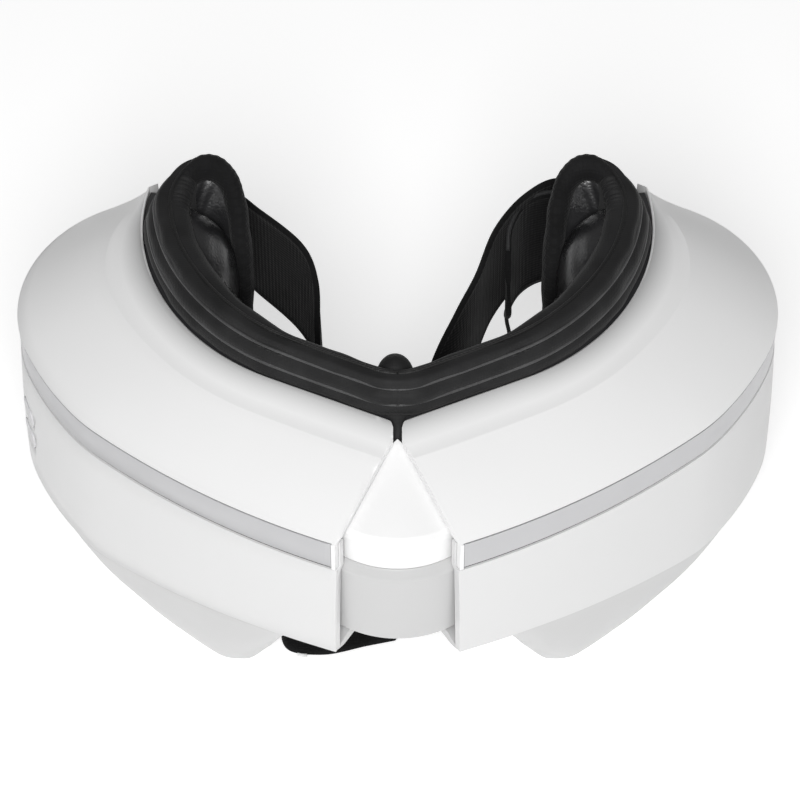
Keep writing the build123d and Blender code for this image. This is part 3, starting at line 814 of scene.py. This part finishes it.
def ring_section(length):
    foot = station_at_lip(length) + 3.4
    seams = [seam(k, length) for k in range(5)]
    outline = bulged((PAD_BACK, foot + 1.0), (PAD_BACK, 11.0), 0, 6)
    outline += bulged((PAD_BACK, 11.0), seams[0], 0, 2)
    for k, count in enumerate((6, 6, 12, 12)):
        rise = BANDS[k] + (0.42 * gathers(length) if k == 3 else 0)
        outline += bulged(seams[k], seams[k + 1], rise, count)
    low = foot + 3.0
    heights = [seams[-1][1] + (low - seams[-1][1]) * k / 56 for k in range(57)]
    outline += [(ring_depth(length, z), z) for z in heights]
    outline += bulged((ring_depth(length, low) - 0.4, low - 0.8), (PAD_BACK + 1.0, foot), 1.6, 8)[1:]
    return [rounded_end(length, x, z) for x, z in outline]


def creases(obj, size, depth, seed):
    """Move points in and out a little, so that a soft piece isn't perfectly even."""
    with edited(obj) as bm:
        bm.normal_update()
        for v in bm.verts:
            at = Vector((abs(v.co.x), v.co.y, v.co.z)) / (size * MM) + Vector((seed, 0, 0))
            v.co += v.normal * noise.noise(at) * depth * MM
    return obj


RING_LENGTHS = np.concatenate([np.arange(NOSE_LENGTH, 84, 1.3), np.arange(84, RING_END - 0.3, 0.42),
                               [RING_END]])


def padded_ring():
    """The right half of the ring, open at the mid-plane."""
    rows = [to_frame([pad_point(s, x, z) for x, z in ring_section(s)]) for s in RING_LENGTHS]
    ring = grid_object("ring", rows, cap="end")
    creases(ring, 8.0, 0.5, 3.0)
    return apply_modifier(ring, "SUBSURF", levels=1)


def seam_point(length, k, lift=0.0):
    x, z = seam(k, length)
    x, z = rounded_end(length, x, z + lift)
    return pad_point(length, x, z)


def route(points, count):
    """A smooth curve through points, evenly counted from one to the next."""
    points = [np.array(p, float) for p in points]
    points = [2 * points[0] - points[1]] + points + [2 * points[-1] - points[-2]]
    out = []
    for k in range(1, len(points) - 2):
        a, b, c, d = points[k - 1:k + 3]
        for j in range(count):
            t = j / count
            out.append(0.5 * (2 * b + (c - a) * t + (2 * a - 5 * b + 4 * c - d) * t**2
                              + (3 * b - a - 3 * c + d) * t**3))
    out.append(points[-2])
    return out


def tube(name, points, radius, sides=8, closed=False):
    """A round cord of fixed radius along points in millimetres."""
    points = [Vector(p) for p in points]
    count = len(points)
    rows = []
    for k, point in enumerate(points):
        ahead = points[(k + 1) % count] if closed or k < count - 1 else point
        behind = points[k - 1] if closed or k > 0 else point
        run = (ahead - behind).normalized()
        side = run.cross(Vector((0, 0, 1)))
        side = side.normalized() if side.length > 1e-4 else Vector((1, 0, 0))
        up = side.cross(run).normalized()
        rows.append(to_frame([point + radius * (cos(a) * side + sin(a) * up) for a in turns(sides)]))
    if closed:
        rows.append(rows[0])
    return grid_object(name, rows, cap=not closed)


def joined(name, objects):
    """One object from several."""
    bm = bmesh.new()
    for obj in objects:
        bm.from_mesh(obj.data)
        bpy.data.objects.remove(obj)
    return new_object(name, bm)


def stitches(name, place, start, end, pitch, long, radius):
    """A row of thread stitches that follow place(length)."""
    pieces = []
    for k in range(int((end - start) / pitch)):
        at = start + k * pitch
        points = [Vector(place(at + long * t)) for t in (0, 0.25, 0.5, 0.75, 1)]
        points[0].z -= 0.25
        points[-1].z -= 0.25
        pieces.append(tube("stitch", points, radius, sides=6))
    return joined(name, pieces)


def rounded_square(angle, power, share):
    """A point of a curve between a circle, at power 2, and a square, scaled by a share."""
    c, s = cos(angle), sin(angle)
    return np.sign(c) * abs(c) ** (2 / power) * share, np.sign(s) * abs(s) ** (2 / power) * share


def patch(name, region, power, surface, back, rings=26, around=112):
    """A closed piece on the face side. region(u, v) gives lip length and height, with u and v from -1 to 1,
    and surface(length, z, share) its distance from the lip, share being 1 at its edge."""
    rows = []
    for share in [0.02] + [k / rings for k in range(1, rings + 1)]:
        row = []
        for a in turns(around):
            length, z = region(*rounded_square(a, power, share))
            row.append((length, surface(length, z, share), z))
        rows.append(row)
    rows.append([(length, back, z) for length, _, z in rows[-1]])
    return grid_object(name, [to_frame([pad_point(*p) for p in row]) for row in rows])


CLOTH_FRAMES = 20
HELD_REACH = 1.2  # voxels from the edge within which points stay put


def inflate(obj, edge, voxel, pressure, most):
    """Shape a padded piece by cloth simulation under air pressure. Points near the edge points stay put,
    and no point moves further than most. Sizes are in millimetres."""
    seam_tree = KDTree(len(edge))
    for index, point in enumerate(edge):
        seam_tree.insert(point, index)
    seam_tree.balance()
    apply_modifier(obj, "REMESH", mode="VOXEL", voxel_size=voxel * MM, use_smooth_shade=True)
    start = [v.co.copy() for v in obj.data.vertices]
    held = [k for k, point in enumerate(start) if seam_tree.find(point)[2] < HELD_REACH * voxel * MM]
    obj.vertex_groups.new(name="held").add(held, 1.0, "ADD")
    cloth = obj.modifiers.new("cloth", "CLOTH")
    cloth.settings.vertex_group_mass = "held"
    cloth.settings.use_pressure = True
    cloth.settings.uniform_pressure_force = pressure
    cloth.settings.effector_weights.gravity = 0
    for number in range(1, CLOTH_FRAMES + 1):
        bpy.context.scene.frame_set(number)
    result = bpy.data.meshes.new_from_object(obj.evaluated_get(bpy.context.evaluated_depsgraph_get()))
    obj.modifiers.remove(cloth)
    bpy.context.scene.frame_set(1)
    moved = [v.co - a for v, a in zip(result.vertices, start)]
    for v, a, move in zip(obj.data.vertices, start, moved):
        v.co = a + move * min(1.0, most * MM / max(move.length, 1e-9))
    bpy.data.meshes.remove(result)
    return apply_modifier(obj, "SUBSURF", levels=1)


pair(padded_ring(), "cushion_cover", black_fabric, "face_cushion", across=True)

WELT_LENGTHS = np.concatenate([np.arange(NOSE_LENGTH, RING_END - 2, 1.0), [RING_END - 1]])
THREAD_START, THREAD_END = NOSE_LENGTH + 0.6, 106.0
for index, lift, radius in ((1, 0.1, 0.5), (2, 0.75, 0.42)):
    welt = tube("welt", [seam_point(s, index, lift) for s in WELT_LENGTHS], radius)
    pair(welt, "cushion_welt_" + str(index), welt_cloth, across=True)
thread = stitches("thread", lambda s: seam_point(s, 2, -0.35), THREAD_START, THREAD_END, 3.1, 2.0, 0.3)
pair(thread, "cushion_stitching", thread_black, across=True)
# Painted shade: a near-black cord laid along the groove below the main roll stands in for the groove's
# shade.
groove = tube("groove", [seam_point(s, 3, 0.15) for s in WELT_LENGTHS], 0.5)
pair(groove, "cushion_groove_cord", thread_black, across=True)
hem = stitches("thread", lambda s: seam_point(s, 4, 0.1), THREAD_START, THREAD_END, 2.6, 1.7, 0.22)
pair(hem, "cushion_hem_stitching", thread_black, across=True)

# The ring's end comes round the airbag as a gathered hood: lip length, distance from the lip and height.
HOOD = [(101, 9.5, 22), (106, 11.5, 24), (109.5, 15, 25), (109.5, 19, 24), (106, 22.2, 21), (100, 24.2, 16),
        (93.5, 25, 8), (88, 25, -2), (84, 24, -13), (82, 21, -24)]
HOOD_RADIUS = 3.3


def padded_hood():
    """A gathered tube along HOOD that narrows at both ends."""
    line = [np.array(p) for p in route([pad_point(*p) for p in HOOD], 14)]
    rows = []
    for k, point in enumerate(line):
        share = k / (len(line) - 1)
        run = line[min(k + 1, len(line) - 1)] - line[max(k - 1, 0)]
        run = run / np.linalg.norm(run)
        side = np.cross(run, (0, 0, 1))
        side = side / np.linalg.norm(side)
        up = np.cross(side, run)
        size = HOOD_RADIUS * (1 - 0.95 * abs(2 * share - 1) ** 5) ** 0.5
        pucker = 1 + 0.05 * sin(2 * pi * k / 4.2)
        rows.append(to_frame([point + size * (0.85 * cos(a) * side + 1.25 * pucker * sin(a) * up)
                              for a in turns(20)]))
    return apply_modifier(creases(grid_object("hood", rows), 7.0, 0.5, 5.0), "SUBSURF", levels=1)


def hood_lining():
    """Leather gathered between the ring's inner edge and the hood, behind the airbag's end."""
    far = route([np.array(p, float) for p in HOOD], 6)
    rows = []
    for k, end in enumerate(far):
        share = k / (len(far) - 1)
        start = np.array([101 - 19 * share, 11.5, 21 - 45 * share])
        front, back = [], []
        for j in range(15):
            w = j / 14
            at = start + (end - start) * w
            swell = sin(pi * w) * (1 + 0.12 * sin(2 * pi * k / 5))
            at = at + swell * np.array([0, 1.5 * share, 2.2 * (1 - share)])
            front.append(pad_point(*at))
            back.append(pad_point(at[0], at[1] - 1.2, at[2] - 1.8))
        rows.append(to_frame(front + back[::-1]))
    return apply_modifier(creases(grid_object("lining", rows), 8.0, 0.6, 7.0), "SUBSURF", levels=1)


pair(hood_lining(), "hood_lining", black_leather)

PIPING_POINTS, PIPING_SHARE, PIPING_PASSES = 150, 1.02, 8


def recess_piping():
    """Piping round the recess's edge, its corners smoothed in passes."""
    loop = []
    for a in turns(PIPING_POINTS):
        u, v = rounded_square(a, 4.0, PIPING_SHARE)
        length = RECESS_MIDDLE + RECESS_HALF * u
        middle, half = recess_edge(length)
        z = middle + half * v
        loop.append(pad_point(length, ring_depth(length, z) + 0.1, z))
    loop = np.array(loop)
    for _ in range(PIPING_PASSES):
        loop = (np.roll(loop, 1, axis=0) + 2 * loop + np.roll(loop, -1, axis=0)) / 4
    return tube("edge", loop, 0.5, closed=True)


pair(padded_hood(), "temple_hood", knit_band)
pair(recess_piping(), "recess_piping", welt_cloth)


# ---- face side: liner, temple airbag and eye pad
LINER_INSET, LINER_RISE, LINER_CROWN, LINER_BACK = 1.5, 3.5, 0.6, 2.3


def liner_region(u, v):
    length = RECESS_MIDDLE + (RECESS_HALF - LINER_INSET) * u
    middle, half = recess_edge(length)
    return length, middle + (half - 1.0) * v


liner = patch("liner", liner_region, 4.0,
              lambda s, z, share: LINER_RISE + LINER_CROWN * (1 - share**8), LINER_BACK)
pair(liner, "recess_liner", black_leather)

LEAF_MIDDLE, LEAF_HALF = 79.0, 28.5
LEAF_RISE, LEAF_SWELL, LEAF_BACK = 3.6, 18.8, 3.0


def leaf_region(u, v):
    """The airbag's outline: a leaf that is highest towards the temple."""
    length = LEAF_MIDDLE + LEAF_HALF * u
    top = 12.0 + 14.0 * smooth((length - 56) / 26)
    foot = -50.0 + 5.0 * smooth((length - 78) / 18)
    return length, (top + foot) / 2 + (top - foot) / 2 * v


def leaf_surface(length, z, share):
    """The airbag's swell, deeper towards the temple, with shallow folds."""
    crown = (1 - share**3.4) ** 0.55
    lean = 0.74 + 0.36 * smooth((length - LEAF_MIDDLE + LEAF_HALF) / (1.3 * LEAF_HALF))
    fold = 0.5 * sin((z + 0.5 * length) / 7.5) * smooth((1 - share) / 0.4)
    return LEAF_RISE + LEAF_SWELL * crown * lean + fold * crown


AIRBAG_ROUND = 128
airbag = creases(patch("airbag", leaf_region, 3.4, leaf_surface, LEAF_BACK, rings=34,
                       around=AIRBAG_ROUND), 13.0, 0.8, 9.0)
airbag_edge = [v.co.copy() for v in airbag.data.vertices[-2 * AIRBAG_ROUND:]]
creases(inflate(airbag, airbag_edge, voxel=3.0, pressure=4.0, most=2.5), 6.0, 0.3, 2.0)
pair(airbag, "temple_airbag_cover", black_leather, "temple_airbag")

EYE_LENGTH, EYE_Z, EYE_HALF_WIDTH, EYE_HALF_HEIGHT = 36.0, -20.0, 18.6, 16.6
EYE_RISE, EYE_DOME, EYE_BACK = 4.2, 0.9, 2.5
NUB_RING, NUB_RADIUS, NUB_RISE = 10.0, 2.6, 1.9
NUBS = [(0.0, 0.0)] + [(NUB_RING * cos(pi * k / 4), 0.85 * NUB_RING * sin(pi * k / 4)) for k in range(8)]


def eye_surface(length, z, share):
    """The eye pad: a low dome with nine round nubs and a raised rim."""
    dome = EYE_DOME * (1 - share**2)
    rise = dome
    for along, up in NUBS:
        apart = hypot(length - EYE_LENGTH - along, z - EYE_Z - up) / NUB_RADIUS
        rise = max(rise, dome + NUB_RISE * max(0.0, 1 - apart * apart) ** 0.5)
    lip = 0.7 * max(0.0, 1 - abs(share - 0.93) / 0.06)
    return EYE_RISE + rise + lip


eye = patch("eye", lambda u, v: (EYE_LENGTH + EYE_HALF_WIDTH * u, EYE_Z + EYE_HALF_HEIGHT * v), 2.0,
            eye_surface, EYE_BACK, rings=60, around=144)
pair(eye, "eye_pad_face", silicone, "eye_pad")


# ---- nose: the flap behind the ring and the gusset between the two collars
FLAP_X, FLAP_Y, FLAP_WIDTH, FLAP_DEPTH, FLAP_TOP, FLAP_FOOT = -0.6, 14.5, 5.0, 5.0, 24.6, 2.0
rows = []
for k in range(25):
    t = k / 24
    swell = (1 - abs(2 * t - 1) ** 3.0) ** 0.5 if 0 < t < 1 else 0.12
    z = FLAP_TOP + (FLAP_FOOT - FLAP_TOP) * t
    rows.append(to_frame([(FLAP_X + FLAP_WIDTH * swell * cos(a), FLAP_Y + FLAP_DEPTH * swell * sin(a), z)
                          for a in turns(40)]))
flap = finish(grid_object("nose_flap", rows), black_fabric)

# Half width, place and height at the gusset's front, and what each gains towards its back.
GUSSET_FRONT, GUSSET_GAIN = (1.5, 0.3, 9.6), (2.2, 6.2, 6.6)
rows = []
for k in range(15):
    t = k / 14
    half, y = (GUSSET_FRONT[i] + GUSSET_GAIN[i] * t for i in (0, 1))
    z = GUSSET_FRONT[2] + GUSSET_GAIN[2] * t ** 1.3
    front = [(half * (2 * w - 1), y - 0.5 * cos(pi * (w - 0.5)), z + 0.4 * cos(pi * (w - 0.5)))
             for w in (j / 10 for j in range(11))]
    back = [(x, y + 1.2, z - 1.4) for x, y, z in reversed(front)]
    rows.append(to_frame(front + back))
finish(grid_object("nose_gusset", rows), black_fabric)


# ---- straps
STRAP_THICKNESS, STRAP_STEPS = 1.5, 12


def ribbon(name, stations, round_end):
    """A woven band through stations of (lower edge, upper edge), its end rounded over a length."""
    low, high = (route([s[index] for s in stations], STRAP_STEPS) for index in (0, 1))
    middle = [(a + b) / 2 for a, b in zip(low, high)]
    travelled = [0.0]
    for a, b in zip(middle, middle[1:]):
        travelled.append(travelled[-1] + float(np.linalg.norm(b - a)))
    across = np.concatenate([np.linspace(-1, -0.9, 5), np.linspace(-0.86, 0.86, 15), np.linspace(0.9, 1, 5)])
    rows = []
    for k, centre in enumerate(middle):
        half = (high[k] - low[k]) / 2
        left = travelled[-1] - travelled[k]
        if round_end and left < round_end:
            half = half * (0.25 + 0.75 * (1 - (1 - left / round_end) ** 2) ** 0.5)
        run = middle[min(k + 1, len(middle) - 1)] - middle[max(k - 1, 0)]
        out = np.cross(half, run)
        out = out / np.linalg.norm(out)
        front, back = [], []
        for w in across:
            edge = smooth((abs(w) - 0.87) / 0.05)
            thin = 0.75 * smooth((abs(w) - 0.955) / 0.045)
            thick = STRAP_THICKNESS / 2 * (0.72 + 0.34 * edge) * (1 - thin)
            front.append(centre + half * w + out * thick)
            back.append(centre + half * w - out * thick)
        rows.append(to_frame(front + back[::-1]))
    return apply_modifier(grid_object(name, rows), "SUBSURF", levels=1)


def flipped(stations):
    return [tuple((-x, y, z) for x, y, z in pair_of) for pair_of in stations]


SLOT_END = [((64.9, 92.9, -41), (64.9, 92.9, -7)), ((56.0, 94.6, -38), (56.0, 94.6, -4))]
RIGHT_STRAP = SLOT_END + [
    ((44.0, 93.8, -28), (43.5, 93.2, 6)), ((33.5, 88.0, -29), (34.0, 88.0, 6)),
    ((25.0, 77.5, -32), (26.0, 79.0, 2.5)), ((19.5, 66.0, -39), (21.0, 68.7, -4)),
    ((14.5, 54.0, -47), (15.7, 61.8, -11)), ((9.0, 41.0, -58), (9.0, 54.5, -24)),
    ((5.0, 22.0, -72), (4.0, 47.0, -46)), ((0.0, 3.0, -76.9), (0.0, 35.0, -72)),
]
RIGHT_TAIL = [
    ((60.0, 91.8, -38), (60.0, 91.8, -4)), ((50.0, 92.0, -32), (50.0, 92.0, 2)),
    ((39.5, 89.8, -30), (40.0, 90.2, 4)), ((33.0, 86.0, -31), (33.5, 88.0, 2.5)),
    ((29.5, 79.0, -32), (29.6, 81.5, 0)), ((30.0, 73.0, -33), (29.0, 76.5, -4)),
]
LEFT_STRAP = flipped(SLOT_END) + [
    ((-45.0, 91.5, -30), (-45.0, 91.0, 4)), ((-36.5, 83.5, -30), (-36.5, 83.5, 4.5)),
    ((-25.5, 72.0, -32), (-25.3, 73.2, 2.5)), ((-20.5, 63.0, -38), (-21.6, 68.6, -6)),
    ((-20.0, 52.0, -50), (-21.3, 62.5, -18)), ((-22.0, 36.0, -63), (-21.5, 55.6, -34)),
    ((-28.5, 14.0, -75), (-24.5, 43.0, -57)), ((-30.0, 1.0, -76.9), (-24.5, 33.0, -71)),
    ((-20.0, -1.7, -77.0), (-17.5, 31.0, -74.5)), ((-8.0, 1.2, -77.0), (-8.0, 33.5, -73.5)),
    ((0.0, 3.0, -76.9), (0.0, 35.0, -72)),
]
for name, stations, nodes, end in (("right_strap_band", RIGHT_STRAP, ["right_strap"], 0),
                                   ("right_strap_tail", RIGHT_TAIL, [], 6.0),
                                   ("left_strap_band", LEFT_STRAP, ["left_strap"], 0)):
    strap = finish(ribbon(name, stations, round_end=end), elastic, name.split("_")[0])
    if nodes:
        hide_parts(*nodes)

tail_edges = [route([s[index] for s in RIGHT_TAIL], STRAP_STEPS) for index in (0, 1)]
tail_binding = joined("right_tail_binding", [tube("edge", line, 0.55) for line in tail_edges])
finish(tail_binding, bound_edge, "right")

# A small blank label lies on the strap's front edge.
TAG_AT, TAG_LONG, TAG_TALL, TAG_THICK = (-25.3, -2.2, -76.6), 2.6, 1.0, 0.5
rows = []
for k in range(9):
    along = TAG_AT[0] + TAG_LONG * (k / 8 - 0.5)
    front = TAG_AT[1] - 0.12 * (along - TAG_AT[0]) - 0.15 * sin(pi * k / 8)
    rows.append(to_frame([(along, front + dy * TAG_THICK, TAG_AT[2] + dz * TAG_TALL) for dy, dz in
                          ((0, -0.4), (-0.2, 0), (0, 0.4), (0.5, 0.5), (1, 0.4), (1, -0.4), (0.5, -0.5))]))
finish(grid_object("blank_strap_tag", rows), tag_white, "left")

# ---- CAD pieces that stay as they are
NODE_MATERIALS = (
    (white_wall, "end_cap"),
    (button_grey, "power_button mode_button"),
    (light_lens, "status_light"),
    (socket_metal, "charge_socket"),
    (steel, "hinge_bracket bridge_bracket hinge_pin case_screws bridge_screws motor motor_weight"),
    (dark_plastic, "face_frame strap_clamp air_pump air_valve speaker flex_cable heater_film"),
    (silicone, "air_hose"),
    (gasket_grey, "battery control_board switch_board"),
)
for mat, kinds in NODE_MATERIALS:
    for obj in bpy.data.objects:
        kind = obj.name.replace("left_", "").replace("right_", "")
        if obj.type == "MESH" and kind in kinds.split():
            for slot in obj.material_slots:
                slot.material = mat

# ---- floor, light and camera
FLOOR_SIZE, FLOOR_GLOW, WORLD_GLOW = 6, 0.54, 0.20
bpy.ops.mesh.primitive_plane_add(size=FLOOR_SIZE)
floor = bpy.context.object
floor.name = "floor"
floor_mat = material("floor", 0.72, 0.9)
shader_of(floor_mat).inputs["Emission Color"].default_value = (1, 1, 1, 1)
shader_of(floor_mat).inputs["Emission Strength"].default_value = FLOOR_GLOW
floor.data.materials.append(floor_mat)


LIGHT_AIM = Vector((0, 0, 0.05))


def area_light(name, place, size, power):
    data = bpy.data.lights.new(name, "AREA")
    data.shape, data.size, data.energy = "DISK", size, power
    lamp = bpy.data.objects.new(name, data)
    show(lamp)
    lamp.location = place
    lamp.rotation_euler = (LIGHT_AIM - Vector(place)).to_track_quat("-Z", "Y").to_euler()


area_light("key", (-0.04, -0.73, 0.80), size=0.5, power=8.9)
area_light("back", (0.0, 0.8, 0.9), size=0.9, power=0.5)
world = bpy.data.worlds.new("studio")
world.use_nodes = True
world.node_tree.nodes["Background"].inputs["Color"].default_value = (1, 1, 1, 1)
world.node_tree.nodes["Background"].inputs["Strength"].default_value = WORLD_GLOW
bpy.context.scene.world = world
bpy.context.scene.view_settings.view_transform = "Standard"

ELEVATION, DISTANCE, LENS, SENSOR = 50.0, 0.850, 151.8, 36.0
AIM = Vector((0.0006, PIN.y + 0.0218, RIM_Z))
camera_data = bpy.data.cameras.new("camera")
camera_data.sensor_width = SENSOR
camera_data.lens = LENS
camera_data.clip_start, camera_data.clip_end = 0.05, 20
camera = bpy.data.objects.new("camera", camera_data)
show(camera)
camera.location = AIM + DISTANCE * Vector((0, -cos(radians(ELEVATION)), sin(radians(ELEVATION))))
camera.rotation_euler = (radians(90 - ELEVATION), 0, 0)
bpy.context.scene.camera = camera
